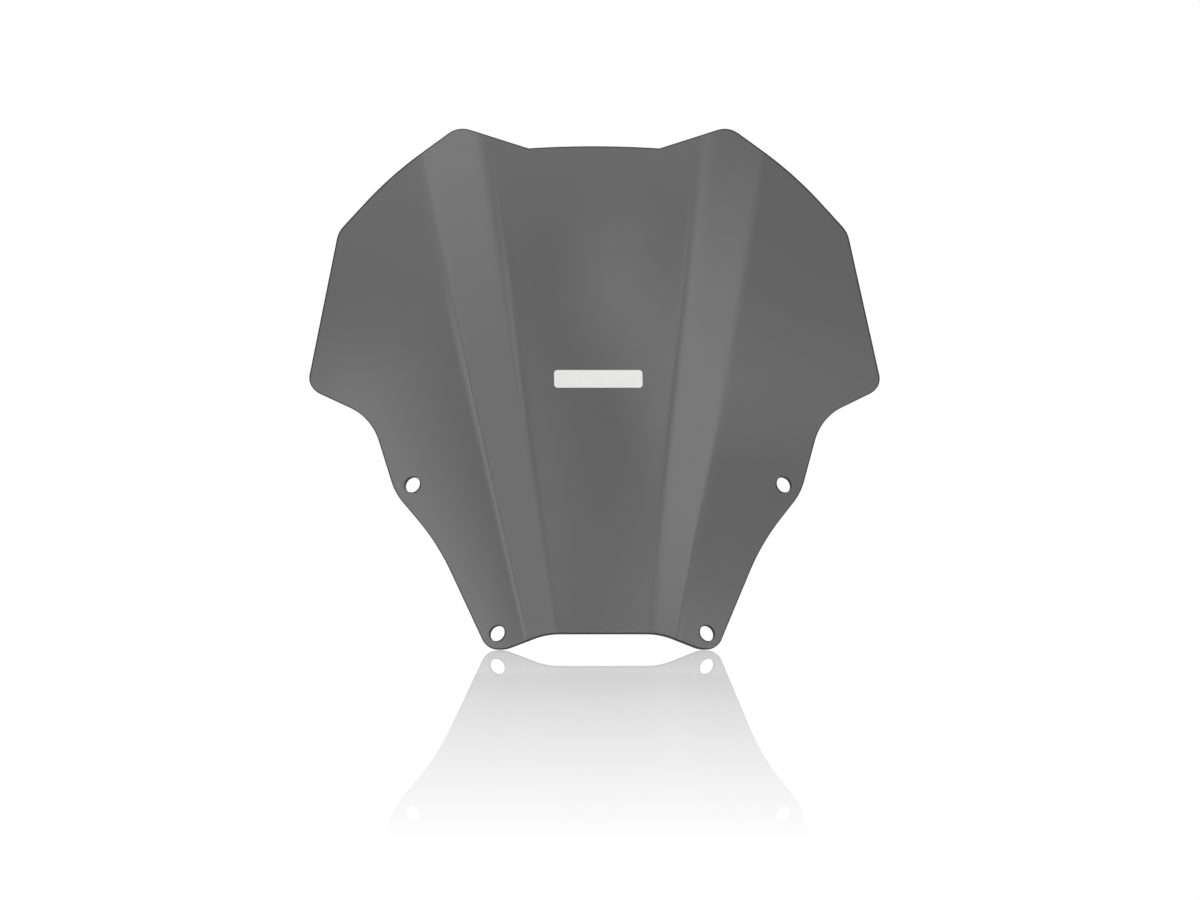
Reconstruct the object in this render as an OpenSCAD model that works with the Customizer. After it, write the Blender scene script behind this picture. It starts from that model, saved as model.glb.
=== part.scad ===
// Windshield screen: one formed sheet that leans back, with a flat band down each side of a
// shallow middle channel, swept wings, and four fixing holes square to the sheet.
// X is across, the front faces -Y, Z is up from the feet. All sizes are in mm.

/* [Overall] */
// Width over the wing tips
screen_w = 420.6; // [380:0.2:470]
// Height from the feet to the ear tips, as it stands
screen_h = 383.8; // [340:0.5:430]
// Sheet thickness
sheet_t = 3; // [2:0.1:5]

/* [Form] */
// Lean of the middle back from upright, degrees
lean = 24; // [10:0.5:40]
// Sweep of each wing just outside its band, degrees
fold_in = 28; // [12:0.5:38]
// Sweep of each wing at its tip, degrees
fold_out = 25; // [12:0.5:38]
// Distance between the middles of the two bands at the feet
band_low = 84; // [60:1:120]
// Distance between the middles of the two bands at the ear tips
band_top = 209; // [140:1:260]
// Half width of each band, as a share of its distance from the middle
band_half = 0.28; // [0.15:0.01:0.45]
// Slope of the bands, degrees
band_slope = 12; // [4:0.5:18]
// Share of a band's width that its soft inner edge takes
inner_soft = 0.3; // [0.1:0.01:0.5]
// Share of a band's width that its crisp outer edge takes
outer_soft = 0.12; // [0.05:0.01:0.4]
// Slope of the middle channel where it meets a band, degrees
channel_slope = 4; // [0:0.5:12]

/* [Top edge] */
// Width of the top edge between the notch corners
notch_w = 96.6; // [60:0.2:140]
// Depth of the notch corners below the ear tips
notch_drop = 14.5; // [5:0.5:30]
// Rise of the top edge at the middle, above its corners
top_crown = 1.6; // [0:0.1:8]
// Distance between the ears' sharp corners
ear_gap = 199.6; // [150:0.2:230]
// Radius of each ear
ear_r = 17.5; // [6:0.5:25]
// Outward bow of the edge from ear to wing
shoulder_bow = 3.5; // [0.5:0.5:10]

/* [Wings] */
// Inset of the wing's upper corner from its tip
wing_lean = 24; // [8:0.5:50]
// Height of the wing's upper corner below the ear tips
wing_top_drop = 76; // [50:1:110]
// Height of the wing tip above the feet
wing_tip_z = 193; // [180:1:230]
// Radius of the wing's upper corner
wing_top_r = 19; // [5:1:30]
// Radius of the wing tip
wing_tip_r = 12; // [5:0.5:20]
// Reach of the corner under the wing beyond each side hole
waist_reach = 29; // [20:0.5:40]
// Height of the corner under the wing above each side hole
waist_rise = 49.4; // [40:0.2:60]
// Radius of the corner under the wing
waist_r = 40; // [15:1:60]

/* [Fixing holes] */
// Diameter of each fixing hole
hole_d = 12; // [5:0.1:14]
// Distance between the foot holes
foot_gap = 154.2; // [130:0.2:180]
// Height of the foot holes above the feet
foot_z = 13; // [12:0.1:18]
// Distance between the side holes
side_gap = 273.4; // [250:0.2:285]
// Height of the side holes above the feet
side_z = 121.6; // [112:0.1:132]

/* [Feet and lower edge] */
// Reach of the outline beyond each side hole
lobe_reach = 12.6; // [10:0.2:18]
// Drop of the lobe's corner below its hole
lobe_drop = 6.3; // [3:0.1:12]
// Radius of the lobe beside each side hole
lobe_r = 43; // [15:1:60]
// Reach of the bowed lower side beyond halfway between its two holes
flank_reach = 12.3; // [6:0.1:18]
// Height of the bow above halfway between them
flank_rise = 11.3; // [4:0.1:18]
// Radius of the bow in the lower side
flank_r = 167; // [60:1:250]
// Radius of each foot's outer corner
foot_r = 12.2; // [8:0.1:16]
// Radius of each foot's inner corner
foot_in_r = 22.6; // [10:0.1:30]
// Width of the straight edge between the feet
base_w = 83.4; // [60:0.2:110]
// Height of the straight edge above the feet
base_z = 13.1; // [6:0.1:24]
// Radius where the straight edge turns down to a foot
base_r = 56; // [15:1:80]

/* [Label] */
// Width of the blank label on the front
label_w = 65; // [40:1:90]
// Height of the blank label
label_h = 13; // [8:0.5:24]
// Height of the label's middle above the feet
label_z = 199; // [120:1:260]
// Corner radius of the label
label_r = 2.5; // [0.5:0.5:4]
// Thickness of the label
label_t = 0.3; // [0.2:0.1:0.6]

/* [Hidden] */

arc_step = 4;                  // degrees in each straight piece of a rounded corner
cuts = [3, 7, 1, 5, 6];        // flat strips in the channel, inner edge, band, outer edge, wing
near = 1e-7;

// The sheet is a cone: straight lines fan upward from a point under the feet, so each is
// named by its slope s, which is x over the height above that point.
band_rate = (band_top - band_low) / 2 / screen_h;
fan_z = band_low / 2 / band_rate;
lean_rate = tan(lean);
s_half = band_rate * band_half;
s_inner = band_rate - s_half;
s_outer = band_rate + s_half;

// Where the outline's corners stand, right half, from the top's middle round to the feet's
ear_over = 0.11 * ear_r;       // a rounded ear ends this far under its sharp corner
tip_over = 0.15 * wing_tip_r;  // and a rounded wing tip this far inside its own
ear_corner = [ear_gap / 2, screen_h + ear_over];
wing_top = [screen_w / 2 + tip_over - wing_lean, screen_h - wing_top_drop];
wing_tip = [screen_w / 2 + tip_over, wing_tip_z];
foot_hole = [foot_gap / 2, foot_z];
side_hole = [side_gap / 2, side_z];
waist = side_hole + [waist_reach, waist_rise];
lobe = side_hole + [lobe_reach, -lobe_drop];
flank = (foot_hole + side_hole) / 2 + [flank_reach, flank_rise];
foot_out = foot_hole + foot_r * [0.67, -0.85];
foot_in = foot_hole + foot_r * [-0.3, -1];
edge_dir = (wing_top - ear_corner) / norm(wing_top - ear_corner);
shoulder = (ear_corner + wing_top) / 2 + shoulder_bow * [-edge_dir[1], edge_dir[0]];
crown = [0, screen_h - notch_drop + top_crown];
crown_r = notch_w * notch_w / 8 / top_crown;

function turned(v) = [-v[0], v[1]];
function unit(v) = v / norm(v);
function wrap(a) = a - 360 * round(a / 360);

// A corner at b, rounded between the straight runs to a and c
function rounded(a, b, c, r) =
    let (u = unit(a - b), v = unit(c - b), half = acos(max(-1, min(1, u * v))) / 2,
         back = min(r / tan(half), 0.48 * norm(a - b), 0.48 * norm(c - b)),
         use = back * tan(half), mid = b + unit(u + v) * use / sin(half),
         p = b + u * back - mid, q = b + v * back - mid,
         from = atan2(p[1], p[0]), turn = wrap(atan2(q[1], q[0]) - from),
         n = max(1, ceil(abs(turn) / arc_step)))
    [for (k = [0:n]) mid + use * [cos(from + turn * k / n), sin(from + turn * k / n)]];

// Right half of an outline: corners are [point, radius], from the middle round to the middle
function half_outline(top, corners, base) =
    let (n = len(corners), pts = concat([turned(corners[0][0])], [for (c = corners) c[0]],
                                        [turned(corners[n - 1][0])]))
    concat([[0, top]],
           [for (k = [1:n]) each rounded(k == 1 ? [0, top] : pts[k - 1], pts[k],
                                         k == n ? [0, base] : pts[k + 1], corners[k - 1][1])],
           [[0, base]]);

screen_corners = [[[notch_w / 2, screen_h - notch_drop], 4], [ear_corner, ear_r],
                  [shoulder, 600], [wing_top, wing_top_r], [wing_tip, wing_tip_r],
                  [waist, waist_r], [lobe, lobe_r], [flank, flank_r],
                  [foot_out, foot_r], [foot_in, foot_in_r], [[base_w / 2, base_z], base_r]];
label_top = label_z + label_h / 2;
label_low = label_z - label_h / 2;
label_corners = [[[label_w / 2, label_top], label_r], [[label_w / 2, label_low], label_r]];

// The crowned top edge is an arc of its own, from the middle to the notch corner
crown_pts = [for (k = [1:5]) let (x = notch_w / 2 * 0.9 * k / 5)
    [x, crown[1] - (crown_r - sqrt(crown_r * crown_r - x * x))]];
plain_outline = half_outline(crown[1], screen_corners, base_z);
screen_outline = concat([[0, crown[1]]], crown_pts,
                        [for (k = [1:len(plain_outline) - 1]) plain_outline[k]]);
label_outline = half_outline(label_top, label_corners, label_low);

// The fan's outermost line clears the whole outline
function line_of(p) = p[0] / (p[1] + fan_z);
s_tip = 1.02 * max([for (p = screen_outline) line_of(p)]);

// Slope of the front across the sheet, straight between these fan lines
slopes = [[0, 0], [s_inner, -tan(channel_slope)], [s_inner + 2 * s_half * inner_soft, tan(band_slope)],
          [s_outer - 2 * s_half * outer_soft, tan(band_slope)], [s_outer, tan(fold_in)],
          [s_tip, tan(fold_out)]];
// Depth of the front, per unit above the fan's point
function depth(s) =
    let (parts = [for (k = [0:len(slopes) - 2]) let (a = slopes[k][0], b = min(s, slopes[k + 1][0]))
                  if (b > a) (lookup(a, slopes) + lookup(b, slopes)) / 2 * (b - a)])
    len(parts) == 0 ? 0 : parts * [for (p = parts) 1];

// The fan's lines, from the middle out
fan = concat([for (k = [0:len(cuts) - 1]) let (a = slopes[k][0], b = slopes[k + 1][0])
              each [for (j = [0:cuts[k] - 1]) a + (b - a) * j / cuts[k]]], [s_tip]);
last = len(fan) - 2;
levels = [for (s = fan) depth(s)];

// Each strip between two lines is flat: y = lean_rate z + base (z + fan_z) + tilt x
tilts = [for (k = [0:last]) (levels[k + 1] - levels[k]) / (fan[k + 1] - fan[k])];
bases = [for (k = [0:last]) levels[k] - tilts[k] * fan[k]];
squares = [for (k = [0:last]) unit([-tilts[k], 1, -lean_rate - bases[k]])];

function side_of(p, k) = p[0] - fan[k] * (p[1] + fan_z);
function strip_of(p) = max([for (k = [0:last]) if (k == 0 || side_of(p, k) > -near) k]);
function on_line(p, k) = abs(side_of(p, k)) < near;

// Front point of the sheet at a place (x, z) of the right half
function front(p) = let (k = strip_of(p))
    [p[0], lean_rate * p[1] + bases[k] * (p[1] + fan_z) + tilts[k] * p[0], p[1]];
// One mm square into the sheet there, mitred where two strips meet
function into(p) =
    let (k = strip_of(p), a = squares[k],
         b = !on_line(p, k) ? a : k == 0 ? [-a[0], a[1], a[2]] : squares[k - 1])
    (a + b) / (1 + a * b);

// Points where an outline crosses the fan's lines, put in between its own
function crossings(p, q) =
    let (up = line_of(q) > line_of(p),
         hit = [for (k = [0:last + 1]) let (a = side_of(p, k), b = side_of(q, k))
                if ((a > near && b < -near) || (a < -near && b > near)) p + (q - p) * a / (a - b)],
         n = len(hit))
    [for (k = [0:1:n - 1]) hit[up ? k : n - 1 - k]];
function cut_up(pts) = [for (k = [0:len(pts) - 1])
    each k == len(pts) - 1 ? [pts[k]] : concat([pts[k]], crossings(pts[k], pts[k + 1]))];

// A flat piece of any outline, cut into triangles one corner at a time
function area2(a, b, c) = (b[0] - a[0]) * (c[1] - a[1]) - (b[1] - a[1]) * (c[0] - a[0]);
function covers(a, b, c, p) =
    area2(a, b, p) <= near && area2(b, c, p) <= near && area2(c, a, p) <= near;
function is_ear(ring, pts, k) =
    let (n = len(ring), a = pts[ring[(k + n - 1) % n]], b = pts[ring[k]], c = pts[ring[(k + 1) % n]])
    area2(a, b, c) < -near
    && len([for (j = [2:1:n - 2]) if (covers(a, b, c, pts[ring[(k + j) % n]])) j]) == 0;
function first_ear(ring, pts, k) =
    k >= len(ring) ? -1 : is_ear(ring, pts, k) ? k : first_ear(ring, pts, k + 1);
function triangles(ring, pts) =
    len(ring) < 3 ? [] : len(ring) == 3 ? [ring]
    : let (n = len(ring), k = first_ear(ring, pts, 0))
      k < 0 ? []
      : concat([[ring[(k + n - 1) % n], ring[k], ring[(k + 1) % n]]],
               triangles([for (j = [1:n - 1]) ring[(k + j) % n]], pts));

// A plate that follows the sheet's front between two depths, over a mirrored half outline
module plate(half, near_t, far_t) {
    pts = cut_up(half);
    n = len(pts);
    faces = [for (k = [0:last])
        let (ring = [for (j = [0:n - 1]) if (side_of(pts[j], k) > -near && side_of(pts[j], k + 1) < near) j])
        each triangles(ring, pts)];
    rim = [for (j = [0:n - 2]) each [[j + 1, j, j + n], [j + 1, j + n, j + 1 + n]]];
    right = concat(faces, [for (f = faces) [f[2] + n, f[1] + n, f[0] + n]], rim);
    solid_pts = concat([for (p = pts) front(p) + near_t * into(p)],
                       [for (p = pts) front(p) + far_t * into(p)]);
    // the left half shares the points on the middle line
    other = [for (j = [0:2 * n - 1]) pts[j % n][0] < near ? j : j + 2 * n];
    left = [for (f = right) [other[f[2]], other[f[1]], other[f[0]]]];
    polyhedron(points = concat(solid_pts, [for (p = solid_pts) [-p[0], p[1], p[2]]]),
               faces = concat(right, left), convexity = 10);
}

// The part stands with its feet at Z 0 and its depth centred on Y 0
rim_pts = cut_up(screen_outline);
all_pts = concat([for (p = rim_pts) front(p)], [for (p = rim_pts) front(p) + sheet_t * into(p)],
                 [front([0, label_low]) - label_t * into([0, label_low])]);
y_low = min([for (p = all_pts) p[1]]);
y_high = max([for (p = all_pts) p[1]]);
z_low = min([for (p = all_pts) p[2]]);
home = [0, -(y_low + y_high) / 2, -z_low];

module fixing_hole(p, hand) {
    axis = into(p) / norm(into(p));
    at = front(p);
    translate([hand * at[0], at[1], at[2]])
        rotate([0, acos(axis[2]), atan2(axis[1], hand * axis[0])])
            cylinder(h = 4 * sheet_t, d = hole_d, center = true, $fn = 64);
}

module screen() {
    color("DimGray")
    translate(home)
    difference() {
        plate(screen_outline, 0, sheet_t);
        for (hand = [-1, 1]) {
            fixing_hole(foot_hole, hand);
            fixing_hole(side_hole, hand);
        }
    }
}

module label() {
    color("White")
    translate(home)
    plate(label_outline, -label_t, 0);
}

screen();
label();
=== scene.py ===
import math
import bpy
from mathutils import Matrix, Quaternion, Vector
from mathutils.geometry import delaunay_2d_cdt
from mathutils.kdtree import KDTree


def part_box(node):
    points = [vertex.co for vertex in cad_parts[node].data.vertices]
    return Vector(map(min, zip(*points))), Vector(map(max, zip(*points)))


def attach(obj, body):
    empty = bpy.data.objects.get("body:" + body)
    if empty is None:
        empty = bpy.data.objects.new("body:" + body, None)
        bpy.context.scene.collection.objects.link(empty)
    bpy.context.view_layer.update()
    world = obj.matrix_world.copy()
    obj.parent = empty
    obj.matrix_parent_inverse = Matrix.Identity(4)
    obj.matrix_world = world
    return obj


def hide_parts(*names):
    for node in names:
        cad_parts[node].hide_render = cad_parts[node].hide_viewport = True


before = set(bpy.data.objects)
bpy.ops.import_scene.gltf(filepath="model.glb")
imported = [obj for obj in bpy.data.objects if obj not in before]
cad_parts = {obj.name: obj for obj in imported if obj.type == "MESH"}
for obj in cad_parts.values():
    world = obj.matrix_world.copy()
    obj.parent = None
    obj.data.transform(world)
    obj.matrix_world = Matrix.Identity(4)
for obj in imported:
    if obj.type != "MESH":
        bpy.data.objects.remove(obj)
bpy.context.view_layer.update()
mm = 0.001  # sizes below are in millimetres


# the rule that bends the sheet, shared by the screen and its label
formShape = {
    "lean": 24,            # degrees the middle leans back
    "channelSlope": 4,     # slope of the middle channel where it meets a band
    "bandSlope": 12,       # slope of the flat band down each side
    "foldIn": 28,          # sweep of a wing just outside its band
    "foldOut": 25,         # sweep of a wing at its tip
    "bandLow": 84,         # distance between the middles of the bands at the feet
    "bandTop": 209,        # distance between them at the ear tips
    "bandHalf": 0.28,      # half width of a band, as a share of its distance from the middle
    "innerSoft": 0.3,      # share of a band taken by its soft inner edge
    "outerSoft": 0.12,     # share taken by its crisp outer edge
    "height": 383.8,       # height of the flat outline
    "tipShare": 1.02,      # how far past the wing tips the last fan line lies
}


def fanLines(shape):
    # every straight line up the sheet is named by x over its height above the fan's point
    rate = (shape["bandTop"] - shape["bandLow"]) / 2 / shape["height"]
    return {"fanZ": shape["bandLow"] / 2 / rate, "inner": rate * (1 - shape["bandHalf"]),
            "outer": rate * (1 + shape["bandHalf"])}


def sheetNormal(x, z, shape):
    # unit vector into the sheet at a place of the flat outline
    fan = fanLines(shape)
    s = abs(x) / (z + fan["fanZ"])
    inner, outer = fan["inner"], fan["outer"]
    channel, band, wingIn, wingOut = (math.tan(math.radians(shape[name]))
                                      for name in ("channelSlope", "bandSlope", "foldIn", "foldOut"))
    width = outer - inner
    bends = [(0, 0), (inner, -channel), (inner + width * shape["innerSoft"], band),
             (outer - width * shape["outerSoft"], band), (outer, wingIn), (shape["tipLine"], wingOut)]
    slope = depth = 0
    for (start, low), (end, high) in zip(bends, bends[1:]):
        u = min(max(s - start, 0), end - start)
        rise = (high - low) / (end - start)
        slope += rise * u
        depth += low * u + rise * u * u / 2
    across = math.copysign(slope, x)
    up = math.tan(math.radians(shape["lean"])) + depth - s * slope
    return Vector((-across, 1, -up)).normalized()


def put(tree, kind, **settings):
    node = tree.nodes.new(kind)
    for name, value in settings.items():
        setattr(node, name, value)
    return node


def feed(tree, socket, value):
    # links a socket, or sets it where the value is plain
    if isinstance(value, bpy.types.NodeSocket):
        tree.links.new(value, socket)
    elif value is not None:
        socket.default_value = value


def calc(tree, operation, a, b=None, clamp=False):
    node = put(tree, "ShaderNodeMath", operation=operation, use_clamp=clamp)
    feed(tree, node.inputs[0], a)
    feed(tree, node.inputs[1], b)
    return node.outputs[0]


def newTree(name, kind, inputs, outputs):
    tree = bpy.data.node_groups.new(name, kind)
    for socketName, socketKind, value in inputs:
        socket = tree.interface.new_socket(socketName, in_out="INPUT", socket_type=socketKind)
        if value is not None:
            socket.default_value = value
    for socketName, socketKind in outputs:
        tree.interface.new_socket(socketName, in_out="OUTPUT", socket_type=socketKind)
    start = put(tree, "NodeGroupInput")
    end = put(tree, "NodeGroupOutput")
    return tree, start, end


def formedSheetTree():
    # bends a flat piece to the sheet's form and sets its finish
    number = "NodeSocketFloat"
    tree, start, end = newTree("formedSheet", "GeometryNodeTree", [
        ("Flat piece", "NodeSocketGeometry", None),
        ("Lean", number, 24.0), ("Channel slope", number, 4.0), ("Band slope", number, 12.0),
        ("Fold in", number, 28.0), ("Fold out", number, 25.0), ("Band low", number, 0.084),
        ("Band top", number, 0.209), ("Band half", number, 0.28), ("Inner soft", number, 0.3),
        ("Outer soft", number, 0.12), ("Height", number, 0.3838), ("Tip line", number, 0.479),
        ("Finish", "NodeSocketMaterial", None), ("Edge finish", "NodeSocketMaterial", None)],
        [("Formed piece", "NodeSocketGeometry")])
    given = start.outputs

    def degrees(name):
        return calc(tree, "TANGENT", calc(tree, "RADIANS", given[name]))

    place = put(tree, "ShaderNodeSeparateXYZ")
    feed(tree, place.inputs[0], put(tree, "GeometryNodeInputPosition").outputs[0])
    x, z = place.outputs["X"], place.outputs["Z"]
    middle = calc(tree, "DIVIDE", calc(tree, "SUBTRACT", given["Band top"], given["Band low"]),
                  calc(tree, "MULTIPLY", given["Height"], 2.0))
    fanZ = calc(tree, "DIVIDE", calc(tree, "MULTIPLY", given["Band low"], 0.5), middle)
    above = calc(tree, "ADD", z, fanZ)
    line = calc(tree, "DIVIDE", calc(tree, "ABSOLUTE", x), above)
    half = calc(tree, "MULTIPLY", middle, given["Band half"])
    width = calc(tree, "MULTIPLY", half, 2.0)
    inner, outer = calc(tree, "SUBTRACT", middle, half), calc(tree, "ADD", middle, half)
    bandStart = calc(tree, "ADD", inner, calc(tree, "MULTIPLY", width, given["Inner soft"]))
    bandEnd = calc(tree, "SUBTRACT", outer, calc(tree, "MULTIPLY", width, given["Outer soft"]))
    channel, band = calc(tree, "MULTIPLY", degrees("Channel slope"), -1.0), degrees("Band slope")
    bends = [(0.0, 0.0), (inner, channel), (bandStart, band), (bandEnd, band),
             (outer, degrees("Fold in")), (given["Tip line"], degrees("Fold out"))]

    # slope and depth of the front, added up over the stretches between bends
    slope = depth = None
    for (lineLow, slopeLow), (lineHigh, slopeHigh) in zip(bends, bends[1:]):
        reach = calc(tree, "SUBTRACT", lineHigh, lineLow)
        u = calc(tree, "MINIMUM", calc(tree, "MAXIMUM", calc(tree, "SUBTRACT", line, lineLow), 0.0), reach)
        rate = calc(tree, "DIVIDE", calc(tree, "SUBTRACT", slopeHigh, slopeLow), reach)
        rise = calc(tree, "MULTIPLY", rate, u)
        fall = calc(tree, "MULTIPLY", u, calc(tree, "ADD", slopeLow, calc(tree, "MULTIPLY", rise, 0.5)))
        slope = rise if slope is None else calc(tree, "ADD", slope, rise)
        depth = fall if depth is None else calc(tree, "ADD", depth, fall)

    leanRate = degrees("Lean")
    y = calc(tree, "ADD", calc(tree, "MULTIPLY", leanRate, z), calc(tree, "MULTIPLY", above, depth))
    across = calc(tree, "MULTIPLY", slope, calc(tree, "SIGN", x))
    up = calc(tree, "SUBTRACT", calc(tree, "ADD", leanRate, depth), calc(tree, "MULTIPLY", line, slope))

    face = put(tree, "ShaderNodeCombineXYZ")
    for socket, value in zip(face.inputs, (x, y, z)):
        feed(tree, socket, value)
    into = put(tree, "ShaderNodeCombineXYZ")
    for socket, value in zip(into.inputs, (calc(tree, "MULTIPLY", across, -1.0), 1.0,
                                           calc(tree, "MULTIPLY", up, -1.0))):
        feed(tree, socket, value)
    unit = put(tree, "ShaderNodeVectorMath", operation="NORMALIZE")
    feed(tree, unit.inputs[0], into.outputs[0])
    depthIn = put(tree, "GeometryNodeInputNamedAttribute", data_type="FLOAT")
    depthIn.inputs["Name"].default_value = "depthIn"
    offset = put(tree, "ShaderNodeVectorMath", operation="SCALE")
    feed(tree, offset.inputs[0], unit.outputs[0])
    feed(tree, offset.inputs["Scale"], depthIn.outputs["Attribute"])

    bend = put(tree, "GeometryNodeSetPosition")
    feed(tree, bend.inputs["Geometry"], given["Flat piece"])
    feed(tree, bend.inputs["Position"], face.outputs[0])
    feed(tree, bend.inputs["Offset"], offset.outputs[0])
    smooth = put(tree, "GeometryNodeSetShadeSmooth")
    feed(tree, smooth.inputs["Geometry"], bend.outputs[0])
    real = put(tree, "GeometryNodeRealizeInstances")
    feed(tree, real.inputs[0], smooth.outputs[0])
    finish = put(tree, "GeometryNodeSetMaterial")
    feed(tree, finish.inputs["Geometry"], real.outputs[0])
    feed(tree, finish.inputs["Material"], given["Finish"])
    rim = put(tree, "GeometryNodeInputNamedAttribute", data_type="FLOAT")
    rim.inputs["Name"].default_value = "rim"
    onRim = put(tree, "FunctionNodeCompare", data_type="FLOAT", operation="GREATER_THAN")
    feed(tree, onRim.inputs["A"], rim.outputs["Attribute"])
    feed(tree, onRim.inputs["B"], 0.4)
    edge = put(tree, "GeometryNodeSetMaterial")
    feed(tree, edge.inputs["Geometry"], finish.outputs[0])
    feed(tree, edge.inputs["Selection"], onRim.outputs[0])
    feed(tree, edge.inputs["Material"], given["Edge finish"])
    feed(tree, end.inputs["Formed piece"], edge.outputs[0])
    return tree


def formPiece(piece, tree, shape, finish, edgeFinish):
    # runs the tree on a flat piece and keeps the result as a plain mesh
    values = {"Lean": shape["lean"], "Channel slope": shape["channelSlope"], "Band slope": shape["bandSlope"],
              "Fold in": shape["foldIn"], "Fold out": shape["foldOut"], "Band low": shape["bandLow"] * mm,
              "Band top": shape["bandTop"] * mm, "Band half": shape["bandHalf"],
              "Inner soft": shape["innerSoft"], "Outer soft": shape["outerSoft"],
              "Height": shape["height"] * mm, "Tip line": shape["tipLine"]}
    bend = piece.modifiers.new("formedSheet", "NODES")
    bend.node_group = tree
    for item in tree.interface.items_tree:
        if item.item_type == "SOCKET" and item.in_out == "INPUT":
            if item.name in values:
                bend[item.identifier] = float(values[item.name])
            elif item.name == "Finish":
                bend[item.identifier] = finish
            elif item.name == "Edge finish":
                bend[item.identifier] = edgeFinish
    graph = bpy.context.evaluated_depsgraph_get()
    formed = bpy.data.meshes.new_from_object(piece.evaluated_get(graph), depsgraph=graph)
    piece.modifiers.clear()
    piece.data = formed
    formed.name = piece.name


def roundCorner(a, b, c, radius):
    # points of a corner at b, rounded between the straight runs to a and c
    u, v = (a - b).normalized(), (c - b).normalized()
    half = math.acos(max(-1, min(1, u.dot(v)))) / 2
    back = min(radius / math.tan(half), 0.48 * (a - b).length, 0.48 * (c - b).length)
    used = back * math.tan(half)
    mid = b + (u + v).normalized() * used / math.sin(half)
    p, q = b + u * back - mid, b + v * back - mid
    start = math.atan2(p.y, p.x)
    turn = (math.atan2(q.y, q.x) - start + math.pi) % (2 * math.pi) - math.pi
    count = max(2, math.ceil(abs(turn) / math.radians(8)), math.ceil(abs(turn) * used / 3))
    return [mid + used * Vector((math.cos(start + turn * k / count), math.sin(start + turn * k / count)))
            for k in range(count + 1)]


def wholeOutline(top, corners, base, crown=0.0, longest=4):
    # mirrored outline, anticlockwise as seen from the front, with no run longer than longest;
    # corners run down the right half
    def mirrored(p):
        return Vector((-p.x, p.y))
    points = [corner[0] for corner in corners]
    half = [Vector((0, top + crown))]
    for k, (point, radius) in enumerate(corners):
        before = Vector((0, top + crown)) if k == 0 else points[k - 1]
        after = Vector((0, base)) if k == len(corners) - 1 else points[k + 1]
        half += roundCorner(before, point, after, radius)
    if crown:
        crownRadius = points[0].x ** 2 / 2 / crown
        arc = [Vector((x, top + crown - crownRadius + math.sqrt(crownRadius ** 2 - x * x)))
               for x in (points[0].x * 0.9 * k / 9 for k in range(1, 10))]
        half = half[:1] + arc + half[1:]
    half.append(Vector((0, base)))
    loop = half + [mirrored(p) for p in half[-2:0:-1]]
    loop.reverse()
    whole = []
    for k, p in enumerate(loop):
        q = loop[(k + 1) % len(loop)]
        parts = max(1, math.ceil((q - p).length / longest))
        if (q - p).length > 1e-6:
            whole += [p.lerp(q, j / parts) for j in range(parts)]
    return whole


def holeOutline(center, radius, shape, count=48):
    # a bore square to the sheet, seen flat, running clockwise
    into = sheetNormal(center.x, center.y, shape)
    side = Vector((0, 0, 1)).cross(into).normalized()
    rise = into.cross(side)
    loop = []
    for k in range(count):
        angle = -2 * math.pi * k / count
        point = side * math.cos(angle) - rise * math.sin(angle)
        loop.append(center + radius * Vector((point.x, point.z)))
    if (loop[0] - center).cross(loop[1] - center) > 0:
        loop.reverse()
    return loop


def shrunk(loop, distance):
    # every point moved into the material, which lies on the left of the loop
    count, moved = len(loop), []
    for k, p in enumerate(loop):
        first = (p - loop[k - 1]).normalized()
        second = (loop[(k + 1) % count] - p).normalized()
        inward = Vector((-first.y - second.y, first.x + second.x)).normalized()
        moved.append(p + inward * distance / max(0.4, inward.dot(Vector((-first.y, first.x)))))
    return moved


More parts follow.
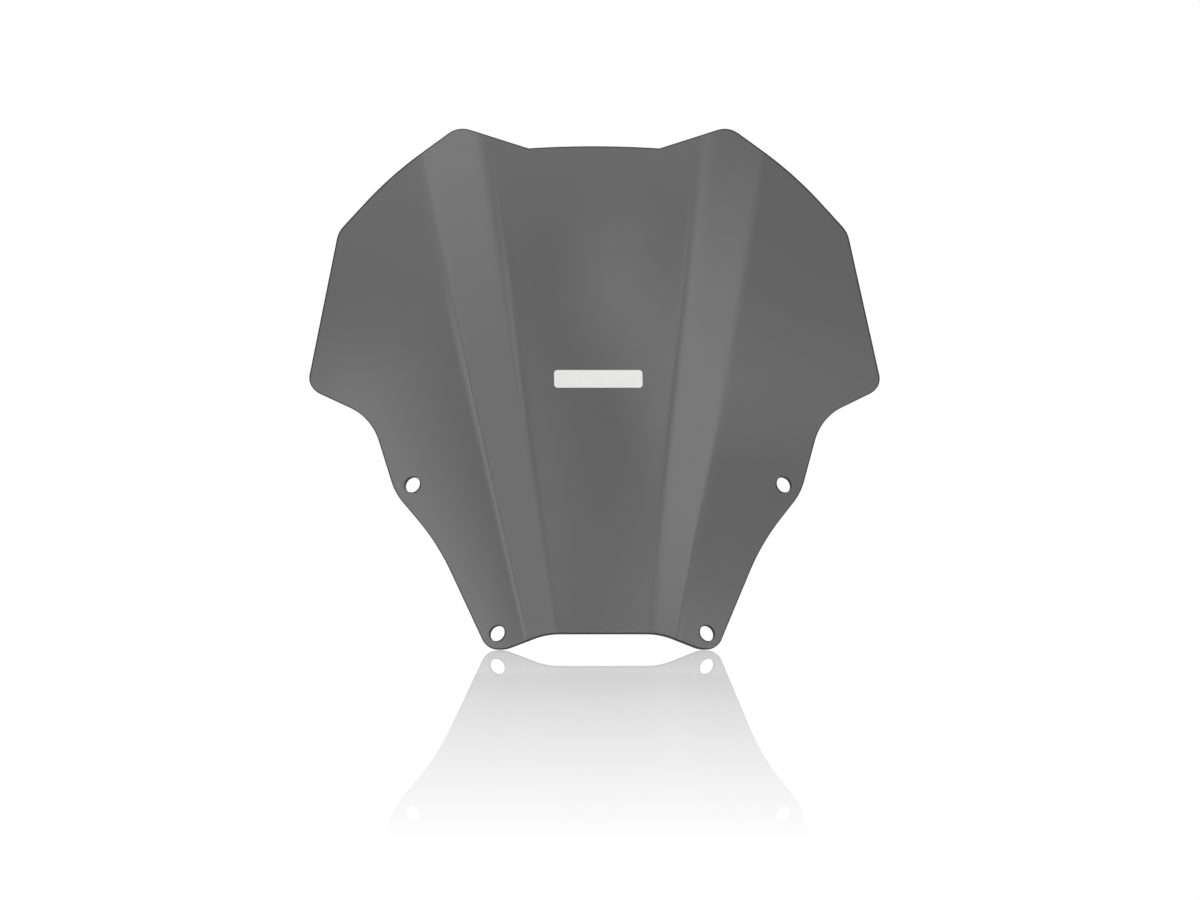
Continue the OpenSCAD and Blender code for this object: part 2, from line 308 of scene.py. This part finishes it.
def plateMesh(name, loops, near, far, edgeRadius, gridPoints, clearance=1.9):
    # a flat plate with rounded rims, the first loop its outline and the others its holes;
    # depth into the sheet is kept as an attribute for the tree
    quarter = [(edgeRadius * (1 - math.sin(a)), edgeRadius * (1 - math.cos(a)))
               for a in (math.radians(d) for d in (0, 22, 45, 68, 90))]
    border = edgeRadius * 2.4  # a flat ring inside the rounding keeps its shading clean
    profile = [(border, near)] + [(inset, near + drop) for inset, drop in quarter]
    profile += [(0, near + (far - near) * share) for share in (0.36, 0.64)]
    profile += [(inset, far - drop) for inset, drop in reversed(quarter)] + [(border, far)]
    verts, depths, rims, faces = [], [], [], []
    ring, ringEdges, ringLoop = [], [], []
    backOf = {}
    for turn, loop in enumerate(loops):
        count, ringStart = len(loop), []
        for inset, depth in profile:
            ringStart.append(len(verts))
            for p in shrunk(loop, inset):
                verts.append(p)
                depths.append(depth)
                rims.append(max(0.0, 1 - inset / edgeRadius))
        for a, b in zip(ringStart, ringStart[1:]):
            for k in range(count):
                n = (k + 1) % count
                faces.append((a + k, b + k, b + n, a + n))
        first = len(ring)
        ring += [ringStart[0] + k for k in range(count)]
        ringLoop += [turn] * count
        ringEdges += [(first + k, first + (k + 1) % count) for k in range(count)]
        for k in range(count):
            backOf[ringStart[0] + k] = ringStart[-1] + k

    # the broad faces: fan points that keep clear of the rims, triangulated with them
    nearest = KDTree(len(ring))
    for k, index in enumerate(ring):
        nearest.insert(verts[index].to_3d(), k)
    nearest.balance()
    inside = [p for p in gridPoints if nearest.find(p.to_3d())[2] > clearance]
    for hole in loops[1:]:
        center = sum(hole, Vector((0, 0))) / len(hole)
        reach = max((p - center).length for p in hole)
        inside = [p for p in inside if (p - center).length > reach]
    flat = [verts[index] for index in ring] + inside
    coords, _, triangles, origin, _, _ = delaunay_2d_cdt(flat, ringEdges, [], 1, 1e-5)
    frontOf, loopOf = {}, {}
    for k, sources in enumerate(origin):
        if sources and sources[0] < len(ring):
            frontOf[k] = ring[sources[0]]
            loopOf[k] = ringLoop[sources[0]]
    for triangle in triangles:
        around = {loopOf.get(k, -1) for k in triangle}
        if len(around) == 1 and min(around) > 0:  # it spans a hole
            continue
        for k in triangle:
            if k not in frontOf:
                frontOf[k] = len(verts)
                backOf[len(verts)] = len(verts) + 1
                verts += [coords[k], coords[k]]
                depths += [near, far]
                rims += [0.0, 0.0]
        a, b, c = (frontOf[k] for k in triangle)
        if (verts[b] - verts[a]).cross(verts[c] - verts[a]) < 0:
            a, b, c = a, c, b
        faces += [(a, b, c), (backOf[c], backOf[b], backOf[a])]

    mesh = bpy.data.meshes.new(name)
    mesh.from_pydata([(p.x * mm, 0, p.y * mm) for p in verts], [], faces)
    for attribute, values in (("depthIn", [d * mm for d in depths]), ("rim", rims)):
        mesh.attributes.new(attribute, "FLOAT", "POINT").data.foreach_set("value", values)
    mesh.update()
    piece = bpy.data.objects.new(name, mesh)
    bpy.context.scene.collection.objects.link(piece)
    return piece


def fanPoints(shape, step, cuts):
    # points along the sheet's straight lines, step apart going up; cuts are how many stretches
    # the channel, a band and a wing are divided into
    fan = fanLines(shape)
    channelCuts, bandCuts, wingCuts = cuts
    lines = [fan["inner"] * k / channelCuts for k in range(channelCuts)]
    lines += [fan["inner"] + (fan["outer"] - fan["inner"]) * k / bandCuts for k in range(bandCuts)]
    lines += [fan["outer"] + (shape["tipLine"] - fan["outer"]) * k / wingCuts for k in range(wingCuts + 1)]
    rows = int(shape["height"] / step)
    points = []
    for line in lines:
        for row in range(1, rows):
            z = shape["height"] * row / rows
            x = line * (z + fan["fanZ"])
            points.append(Vector((x, z)))
            if line:
                points.append(Vector((-x, z)))
    return points


def surfaceGrainGroup():
    # fine unevenness of a surface: a slow swell, a fine grain and hairline scuffs
    tree, start, end = newTree("surfaceGrain", "ShaderNodeTree", [
        ("Swell size", "NodeSocketFloat", 12.0), ("Grain size", "NodeSocketFloat", 900.0),
        ("Grain depth", "NodeSocketFloat", 0.02), ("Scuffs", "NodeSocketFloat", 0.5)],
        [("Height", "NodeSocketFloat"), ("Scuff mask", "NodeSocketFloat"), ("Mottle", "NodeSocketFloat")])
    where = put(tree, "ShaderNodeTexCoord").outputs["Object"]
    swell = put(tree, "ShaderNodeTexNoise")
    feed(tree, swell.inputs["Vector"], where)
    feed(tree, swell.inputs["Scale"], start.outputs["Swell size"])
    feed(tree, swell.inputs["Detail"], 2.0)
    grain = put(tree, "ShaderNodeTexNoise")
    feed(tree, grain.inputs["Vector"], where)
    feed(tree, grain.inputs["Scale"], start.outputs["Grain size"])
    feed(tree, grain.inputs["Detail"], 3.0)
    # hairlines: thin rings of a stretched, wandering noise
    stretch = put(tree, "ShaderNodeMapping")
    feed(tree, stretch.inputs["Vector"], where)
    feed(tree, stretch.inputs["Rotation"], (0.3, 0.2, 0.7))
    feed(tree, stretch.inputs["Scale"], (9.0, 60.0, 60.0))
    hair = put(tree, "ShaderNodeTexNoise")
    feed(tree, hair.inputs["Vector"], stretch.outputs[0])
    feed(tree, hair.inputs["Scale"], 3.0)
    feed(tree, hair.inputs["Detail"], 4.0)
    line = calc(tree, "ABSOLUTE", calc(tree, "SUBTRACT", hair.outputs["Fac"], 0.5))
    line = calc(tree, "SUBTRACT", 1.0, calc(tree, "MULTIPLY", line, 90.0), clamp=True)
    scuff = calc(tree, "MULTIPLY", line, start.outputs["Scuffs"])
    fine = calc(tree, "MULTIPLY", grain.outputs["Fac"], start.outputs["Grain depth"])
    height = calc(tree, "ADD", swell.outputs["Fac"], fine)
    feed(tree, end.inputs["Height"], height)
    feed(tree, end.inputs["Scuff mask"], scuff)
    feed(tree, end.inputs["Mottle"], swell.outputs["Fac"])
    return tree


def rimFinishGroup():
    # how far a place is round the edge of a cut piece, broken up a little
    tree, start, end = newTree("rimFinish", "ShaderNodeTree", [
        ("Uneven", "NodeSocketFloat", 0.2), ("Marks", "NodeSocketFloat", 700.0)],
        [("Rim mask", "NodeSocketFloat"), ("Cut marks", "NodeSocketFloat")])
    rim = put(tree, "ShaderNodeAttribute", attribute_name="rim")
    where = put(tree, "ShaderNodeTexCoord").outputs["Object"]
    blotch = put(tree, "ShaderNodeTexNoise")
    feed(tree, blotch.inputs["Vector"], where)
    feed(tree, blotch.inputs["Scale"], 140.0)
    marks = put(tree, "ShaderNodeTexNoise")
    feed(tree, marks.inputs["Vector"], where)
    feed(tree, marks.inputs["Scale"], start.outputs["Marks"])
    broken = calc(tree, "SUBTRACT", blotch.outputs["Fac"], 0.5)
    broken = calc(tree, "MULTIPLY", broken, start.outputs["Uneven"])
    broken = calc(tree, "MULTIPLY", broken, rim.outputs["Fac"])
    mask = calc(tree, "ADD", rim.outputs["Fac"], broken, clamp=True)
    feed(tree, end.inputs["Rim mask"], mask)
    feed(tree, end.inputs["Cut marks"], calc(tree, "MULTIPLY", marks.outputs["Fac"], mask))
    return tree


def blend(tree, share, a, b):
    node = put(tree, "ShaderNodeMix", data_type="RGBA")
    feed(tree, node.inputs["Factor"], share)
    feed(tree, node.inputs[6], a)
    feed(tree, node.inputs[7], b)
    return node.outputs[2]


def newMaterial(name):
    material = bpy.data.materials.new(name)
    material.use_nodes = True
    tree = material.node_tree
    return material, tree, tree.nodes["Principled BSDF"]


def useGroup(tree, group, values):
    node = put(tree, "ShaderNodeGroup", node_tree=group)
    for name, value in values.items():
        feed(tree, node.inputs[name], value)
    return node


def addBump(tree, shader, height, strength, distance):
    bump = put(tree, "ShaderNodeBump")
    feed(tree, bump.inputs["Strength"], strength)
    feed(tree, bump.inputs["Distance"], distance)
    feed(tree, bump.inputs["Height"], height)
    feed(tree, shader.inputs["Normal"], bump.outputs[0])


smokedFinish = {
    "tint": (0.0875, 0.0875, 0.0885, 1),     # what the sheet lets through
    "tintDeep": (0.0835, 0.0835, 0.085, 1),  # the same where the tint is a little denser
    "roughness": 0.03,
    "scuffRoughness": 0.10,  # added on a hairline scuff
    "rimRoughness": 0.15,    # added round the edge
    "ior": 1.49,
    "grain": {"Swell size": 9.0, "Grain size": 1100.0, "Grain depth": 0.0003, "Scuffs": 0.5},
    "rim": {"Uneven": 0.3, "Marks": 900.0},
    "bump": (0.08, 0.001),   # strength, and distance in metres
}


def smokedSheetMaterial(grainGroup, rimGroup, look):
    material, tree, shader = newMaterial("smokedSheet")
    grain = useGroup(tree, grainGroup, look["grain"])
    rim = useGroup(tree, rimGroup, look["rim"])
    tint = blend(tree, grain.outputs["Mottle"], look["tintDeep"], look["tint"])
    feed(tree, shader.inputs["Base Color"], tint)
    scuffed = calc(tree, "MULTIPLY", grain.outputs["Scuff mask"], look["scuffRoughness"])
    worn = calc(tree, "MULTIPLY", rim.outputs["Rim mask"], look["rimRoughness"])
    rough = calc(tree, "ADD", calc(tree, "ADD", look["roughness"], scuffed), worn)
    feed(tree, shader.inputs["Roughness"], rough)
    feed(tree, shader.inputs["Transmission Weight"], 1.0)
    feed(tree, shader.inputs["IOR"], look["ior"])
    addBump(tree, shader, grain.outputs["Height"], *look["bump"])
    return material


edgeFinish = {
    "dark": (0.010, 0.010, 0.011, 1),     # the cut edge swallows nearly all the light
    "dusty": (0.028, 0.028, 0.029, 1),
    "roughness": 0.38,
    "marksRoughness": 0.2,   # added on the marks of the cutter
    "specular": 0.25,
    "grain": {"Swell size": 160.0, "Grain size": 1800.0, "Scuffs": 0.8},
    "rim": {"Uneven": 0.5, "Marks": 1400.0},
    "bump": (0.3, 0.0002),
}


def cutEdgeMaterial(grainGroup, rimGroup, look):
    material, tree, shader = newMaterial("cutEdge")
    grain = useGroup(tree, grainGroup, look["grain"])
    rim = useGroup(tree, rimGroup, look["rim"])
    dust = calc(tree, "MULTIPLY", grain.outputs["Mottle"], rim.outputs["Cut marks"])
    feed(tree, shader.inputs["Base Color"], blend(tree, dust, look["dark"], look["dusty"]))
    marked = calc(tree, "MULTIPLY", rim.outputs["Cut marks"], look["marksRoughness"])
    feed(tree, shader.inputs["Roughness"], calc(tree, "ADD", look["roughness"], marked))
    feed(tree, shader.inputs["Specular IOR Level"], look["specular"])
    addBump(tree, shader, rim.outputs["Cut marks"], *look["bump"])
    return material


labelFinish = {
    "face": (0.80, 0.80, 0.79, 1),
    "worn": (0.66, 0.66, 0.65, 1),
    "edge": (0.60, 0.60, 0.59, 1),
    "roughness": 0.42,
    "mottleRoughness": 0.18,  # added where the face is mottled
    "grain": {"Swell size": 90.0, "Grain size": 2600.0, "Scuffs": 0.4},
    "rim": {"Uneven": 0.8, "Marks": 1500.0},
    "bump": (0.25, 0.0002),
}


def labelMaterial(grainGroup, rimGroup, look):
    material, tree, shader = newMaterial("labelVinyl")
    grain = useGroup(tree, grainGroup, look["grain"])
    rim = useGroup(tree, rimGroup, look["rim"])
    face = blend(tree, grain.outputs["Scuff mask"], look["face"], look["worn"])
    feed(tree, shader.inputs["Base Color"], blend(tree, rim.outputs["Rim mask"], face, look["edge"]))
    mottled = calc(tree, "MULTIPLY", grain.outputs["Mottle"], look["mottleRoughness"])
    feed(tree, shader.inputs["Roughness"], calc(tree, "ADD", look["roughness"], mottled))
    addBump(tree, shader, grain.outputs["Height"], *look["bump"])
    return material


grainGroup = surfaceGrainGroup()
rimGroup = rimFinishGroup()
sheetTree = formedSheetTree()
smokedSheet = smokedSheetMaterial(grainGroup, rimGroup, smokedFinish)
cutEdge = cutEdgeMaterial(grainGroup, rimGroup, edgeFinish)
labelVinyl = labelMaterial(grainGroup, rimGroup, labelFinish)
print("finishes and the forming tree are built")

screenSizes = {
    "thickness": 3,
    "edgeRadius": 0.45,
    "topZ": 369.3,          # where the crowned top edge starts
    "crown": 1.6,
    "baseZ": 13.1,
    "corners": [            # x, z and radius, from the notch round to the base
        (48.3, 369.3, 4), (99.8, 385.725, 17.5), (149.53, 349.6, 600), (188.1, 307.8, 19),
        (212.1, 193, 12), (165.7, 171, 40), (149.3, 115.3, 43), (119.2, 78.6, 167),
        (85.274, 2.63, 12.2), (73.44, 0.8, 22.6), (41.7, 13.1, 56)],
    "holes": [(77.1, 13, 6), (136.7, 121.6, 6)],  # x, z and radius, both sides
    "pointStep": 4,         # spacing of the mesh's points up the sheet
    "cuts": (10, 25, 24),   # strips in the channel's half, a band and a wing
}


def makeScreen(sizes, shape):
    corners = [(Vector((x, z)), r) for x, z, r in sizes["corners"]]
    outline = wholeOutline(sizes["topZ"], corners, sizes["baseZ"], sizes["crown"])
    fanZ = fanLines(shape)["fanZ"]
    shape["tipLine"] = shape["tipShare"] * max(p.x / (p.y + fanZ) for p in outline)
    loops = [outline]
    for x, z, r in sizes["holes"]:
        for hand in (-1, 1):
            loops.append(holeOutline(Vector((hand * x, z)), r, shape))
    points = fanPoints(shape, sizes["pointStep"], sizes["cuts"])
    return plateMesh("screenSheet", loops, 0, sizes["thickness"], sizes["edgeRadius"], points)


screenPiece = makeScreen(screenSizes, formShape)
formPiece(screenPiece, sheetTree, formShape, smokedSheet, cutEdge)
print("screen formed", len(screenPiece.data.polygons))


labelSizes = {
    "width": 65,
    "height": 13,
    "middleZ": 199,
    "cornerRadius": 2.5,
    "thickness": 0.3,
    "glueLine": 0.02,      # sliver between the label's back and the sheet
    "edgeRadius": 0.08,
    "rimGap": 1,           # the mesh's inner points stay this far from the label's edge
    "pointStep": 2,
    "cuts": (40, 2, 2),
}


def makeLabel(sizes, shape):
    top, low = sizes["middleZ"] + sizes["height"] / 2, sizes["middleZ"] - sizes["height"] / 2
    side = sizes["width"] / 2
    corners = [(Vector((side, top)), sizes["cornerRadius"]), (Vector((side, low)), sizes["cornerRadius"])]
    outline = wholeOutline(top, corners, low)
    gap = sizes["rimGap"]
    points = [p for p in fanPoints(shape, sizes["pointStep"], sizes["cuts"])
              if abs(p.x) < side - gap and low + gap < p.y < top - gap]
    return plateMesh("blankLabel", [outline], -sizes["thickness"], -sizes["glueLine"], sizes["edgeRadius"],
                     points)


labelPiece = makeLabel(labelSizes, formShape)
formPiece(labelPiece, sheetTree, formShape, labelVinyl, labelVinyl)
print("label formed", len(labelPiece.data.polygons))


def spanOf(mesh, axis):
    values = [v.co[axis] for v in mesh.vertices]
    return min(values), max(values)


def seat(pieces, lowest, highest):
    # slides the formed pieces so that the sheet fills the model's box
    spans = [spanOf(pieces[0].data, axis) for axis in range(3)]
    print("formed size", [round((high - low) * 1000, 3) for low, high in spans],
          "frame", [round((highest[k] - lowest[k]) * 1000, 3) for k in range(3)])
    middle = [(low + high) / 2 for low, high in spans]
    shares = [min(1, (highest[k] - lowest[k]) / (spans[k][1] - spans[k][0])) for k in range(3)]
    for piece in pieces:
        for v in piece.data.vertices:
            for k in range(3):
                v.co[k] = (lowest[k] + highest[k]) / 2 + (v.co[k] - middle[k]) * shares[k]
        piece.data.update()


seat([screenPiece, labelPiece], *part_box("screen"))
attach(screenPiece, "root")
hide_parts("screen")
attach(labelPiece, "root")
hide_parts("label")
print("pieces seated in the frame")


studio = {
    "floorSize": 60,
    "floorColor": (0.9, 0.9, 0.9, 1),
    "mirrorShare": 0.56,      # how much of the floor's look at the feet is reflection, at a low angle
    "mirrorFade": 10.0,       # metres from the feet to where it has gone
    "mirrorEase": 0.85,       # how evenly it goes
    "shadowShare": 0.25,      # how much of it takes the object's shadow
    "ambient": 0.5,
    "whiteLevel": 1.0,
    "floorGlow": 1.2,         # brings the pale floor up to the backdrop's white
}


def seenRays(tree):
    # 1 for rays that see the background, straight, mirrored or through the sheet
    path = put(tree, "ShaderNodeLightPath")
    seen = calc(tree, "ADD", path.outputs["Is Camera Ray"], path.outputs["Is Glossy Ray"], clamp=True)
    return calc(tree, "ADD", seen, path.outputs["Is Transmission Ray"], clamp=True)


def makeFloor(look):
    half = look["floorSize"] / 2
    mesh = bpy.data.meshes.new("floor")
    corners = [(-half, -half, 0), (half, -half, 0), (half, half, 0), (-half, half, 0)]
    mesh.from_pydata(corners, [], [(0, 1, 2, 3)])
    floor = bpy.data.objects.new("floor", mesh)
    bpy.context.scene.collection.objects.link(floor)
    material = bpy.data.materials.new("paleFloor")
    material.use_nodes = True
    tree = material.node_tree
    tree.nodes.clear()
    diffuse = put(tree, "ShaderNodeBsdfDiffuse")
    feed(tree, diffuse.inputs["Color"], look["floorColor"])
    white = put(tree, "ShaderNodeEmission")
    feed(tree, white.inputs["Strength"], look["floorGlow"])
    pale = put(tree, "ShaderNodeMixShader")
    feed(tree, pale.inputs[0], calc(tree, "MULTIPLY", seenRays(tree), 1 - look["shadowShare"]))
    feed(tree, pale.inputs[1], diffuse.outputs[0])
    feed(tree, pale.inputs[2], white.outputs[0])
    mirror = put(tree, "ShaderNodeBsdfGlossy")
    feed(tree, mirror.inputs["Color"], (1, 1, 1, 1))
    feed(tree, mirror.inputs["Roughness"], 0.0)
    where = put(tree, "ShaderNodeTexCoord").outputs["Object"]
    reach = put(tree, "ShaderNodeVectorMath", operation="LENGTH")
    feed(tree, reach.inputs[0], where)
    fade = calc(tree, "DIVIDE", reach.outputs["Value"], look["mirrorFade"])
    fade = calc(tree, "SUBTRACT", 1.0, fade, clamp=True)
    glance = put(tree, "ShaderNodeFresnel")
    feed(tree, glance.inputs["IOR"], 1.45)
    share = calc(tree, "MULTIPLY", calc(tree, "POWER", fade, look["mirrorEase"]), look["mirrorShare"])
    share = calc(tree, "MULTIPLY", share, glance.outputs[0])
    both = put(tree, "ShaderNodeMixShader")
    feed(tree, both.inputs[0], share)
    feed(tree, both.inputs[1], pale.outputs[0])
    feed(tree, both.inputs[2], mirror.outputs[0])
    end = put(tree, "ShaderNodeOutputMaterial")
    feed(tree, end.inputs["Surface"], both.outputs[0])
    mesh.materials.append(material)


def makeWorld(look):
    world = bpy.data.worlds.new("studioAir")
    world.use_nodes = True
    tree = world.node_tree
    tree.nodes.clear()
    air = put(tree, "ShaderNodeBackground")
    feed(tree, air.inputs["Color"], (1, 1, 1, 1))
    feed(tree, air.inputs["Strength"], look["ambient"])
    white = put(tree, "ShaderNodeBackground")
    feed(tree, white.inputs["Color"], (1, 1, 1, 1))
    feed(tree, white.inputs["Strength"], look["whiteLevel"])
    both = put(tree, "ShaderNodeMixShader")
    feed(tree, both.inputs[0], seenRays(tree))
    feed(tree, both.inputs[1], air.outputs[0])
    feed(tree, both.inputs[2], white.outputs[0])
    end = put(tree, "ShaderNodeOutputWorld")
    feed(tree, end.inputs["Surface"], both.outputs[0])
    bpy.context.scene.world = world


# where each soft box stands, seen from the middle of the screen: degrees to the right of the
# front and above level, metres away; glow is the brightness its face shows
lamps = {
    "bigBox": {"side": -23, "above": 24, "away": 1.94, "size": (2.45, 2.4), "roll": 61, "glow": 0.88,
               "feather": 0.48},
    "rightBox": {"side": 41, "above": 34, "away": 0.88, "size": (0.62, 1.11), "roll": 48, "glow": 1.58,
                 "feather": 0.27},
    "topStrip": {"side": -37, "above": 59, "away": 0.97, "size": (1.5, 0.62), "roll": 38, "glow": 0.95,
                 "feather": 0.29},
    "leftStrip": {"side": -49, "above": 14, "away": 2.5, "size": (0.24, 1.9), "roll": 23.5, "glow": 1.4,
                  "feather": 0.12},
    "smallStrip": {"side": -1.6, "above": 49, "away": 1.55, "size": (0.35, 0.2), "roll": 33, "glow": 0.84,
                   "feather": 0.1},
}
flag = {"side": 57.5, "above": 21.4, "away": 0.83, "size": (0.60, 0.23), "roll": -16, "dark": 0.45,
        "feather": 0.09}
lampTarget = Vector((0, 0, 0.2))  # the middle of the screen


def facingScreen(thing, look):
    side, above = math.radians(look["side"]), math.radians(look["above"])
    toward = Vector((math.sin(side) * math.cos(above), -math.cos(side) * math.cos(above), math.sin(above)))
    thing.location = lampTarget + toward * look["away"]
    turn = toward.to_track_quat("Z", "Y") @ Quaternion((0, 0, 1), math.radians(look["roll"]))
    thing.rotation_euler = turn.to_euler()
    thing.visible_camera = False


def feathered(tree, place, size, feather):
    # 1 in the middle of a rectangle, easing to 0 at its edges; place runs from 0 to 1 across it
    split = put(tree, "ShaderNodeSeparateXYZ")
    feed(tree, split.inputs[0], place)
    shares = []
    for value, length in zip((split.outputs["X"], split.outputs["Y"]), size):
        edge = calc(tree, "MINIMUM", value, calc(tree, "SUBTRACT", 1.0, value))
        ease = put(tree, "ShaderNodeMapRange", interpolation_type="SMOOTHSTEP")
        feed(tree, ease.inputs["Value"], calc(tree, "MULTIPLY", edge, length / feather))
        shares.append(ease.outputs[0])
    return calc(tree, "MULTIPLY", *shares)


def makeLamp(name, look):
    light = bpy.data.lights.new(name, "AREA")
    light.shape = "RECTANGLE"
    light.size, light.size_y = look["size"]
    light.energy = look["glow"] * math.pi * light.size * light.size_y
    light.use_nodes = True
    tree = light.node_tree
    place = put(tree, "ShaderNodeNewGeometry").outputs["Parametric"]
    share = feathered(tree, place, look["size"], look["feather"])
    feed(tree, tree.nodes["Emission"].inputs["Strength"], share)
    lamp = bpy.data.objects.new(name, light)
    bpy.context.scene.collection.objects.link(lamp)
    facingScreen(lamp, look)


def makeFlag(look):
    # a dark cloth that holds some light off the right wing
    x, y = look["size"][0] / 2, look["size"][1] / 2
    mesh = bpy.data.meshes.new("flag")
    mesh.from_pydata([(-x, -y, 0), (x, -y, 0), (x, y, 0), (-x, y, 0)], [], [(0, 1, 2, 3)])
    cloth = bpy.data.objects.new("flag", mesh)
    bpy.context.scene.collection.objects.link(cloth)
    material = bpy.data.materials.new("flagCloth")
    material.use_nodes = True
    tree = material.node_tree
    tree.nodes.clear()
    scale = put(tree, "ShaderNodeMapping")
    feed(tree, scale.inputs["Vector"], put(tree, "ShaderNodeTexCoord").outputs["Object"])
    feed(tree, scale.inputs["Location"], (0.5, 0.5, 0))
    feed(tree, scale.inputs["Scale"], (0.5 / x, 0.5 / y, 1))
    share = feathered(tree, scale.outputs[0], look["size"], look["feather"])
    dark = put(tree, "ShaderNodeBsdfDiffuse")
    feed(tree, dark.inputs["Color"], (0.01, 0.01, 0.01, 1))
    clear = put(tree, "ShaderNodeBsdfTransparent")
    both = put(tree, "ShaderNodeMixShader")
    feed(tree, both.inputs[0], calc(tree, "MULTIPLY", share, look["dark"]))
    feed(tree, both.inputs[1], clear.outputs[0])
    feed(tree, both.inputs[2], dark.outputs[0])
    end = put(tree, "ShaderNodeOutputMaterial")
    feed(tree, end.inputs["Surface"], both.outputs[0])
    mesh.materials.append(material)
    facingScreen(cloth, look)


view = {
    "distance": 20.0,
    "yaw": 2.4,            # degrees the camera stands to the left
    "aimAcross": 0.0015,   # metres right of the middle
    "aimZ": 0.1463,
    "frameWidth": 0.8812,  # metres across the picture at the object
    "sensor": 36,
}


def makeCamera(look):
    camera = bpy.data.objects.new("camera", bpy.data.cameras.new("camera"))
    bpy.context.scene.collection.objects.link(camera)
    yaw = math.radians(look["yaw"])
    aim = Vector((look["aimAcross"] * math.cos(yaw), -look["aimAcross"] * math.sin(yaw), look["aimZ"]))
    back = Vector((-math.sin(yaw), -math.cos(yaw), 0))
    camera.location = aim + back * look["distance"]
    camera.rotation_euler = (math.pi / 2, 0, -yaw)
    camera.data.sensor_width = look["sensor"]
    camera.data.lens = look["sensor"] * look["distance"] / look["frameWidth"]
    camera.data.clip_end = 200
    bpy.context.scene.camera = camera


makeFloor(studio)
makeWorld(studio)
for lampName, lampLook in lamps.items():
    makeLamp(lampName, lampLook)
makeFlag(flag)
makeCamera(view)
bpy.context.scene.view_settings.view_transform = "Standard"
print("floor, lamps and camera are set")
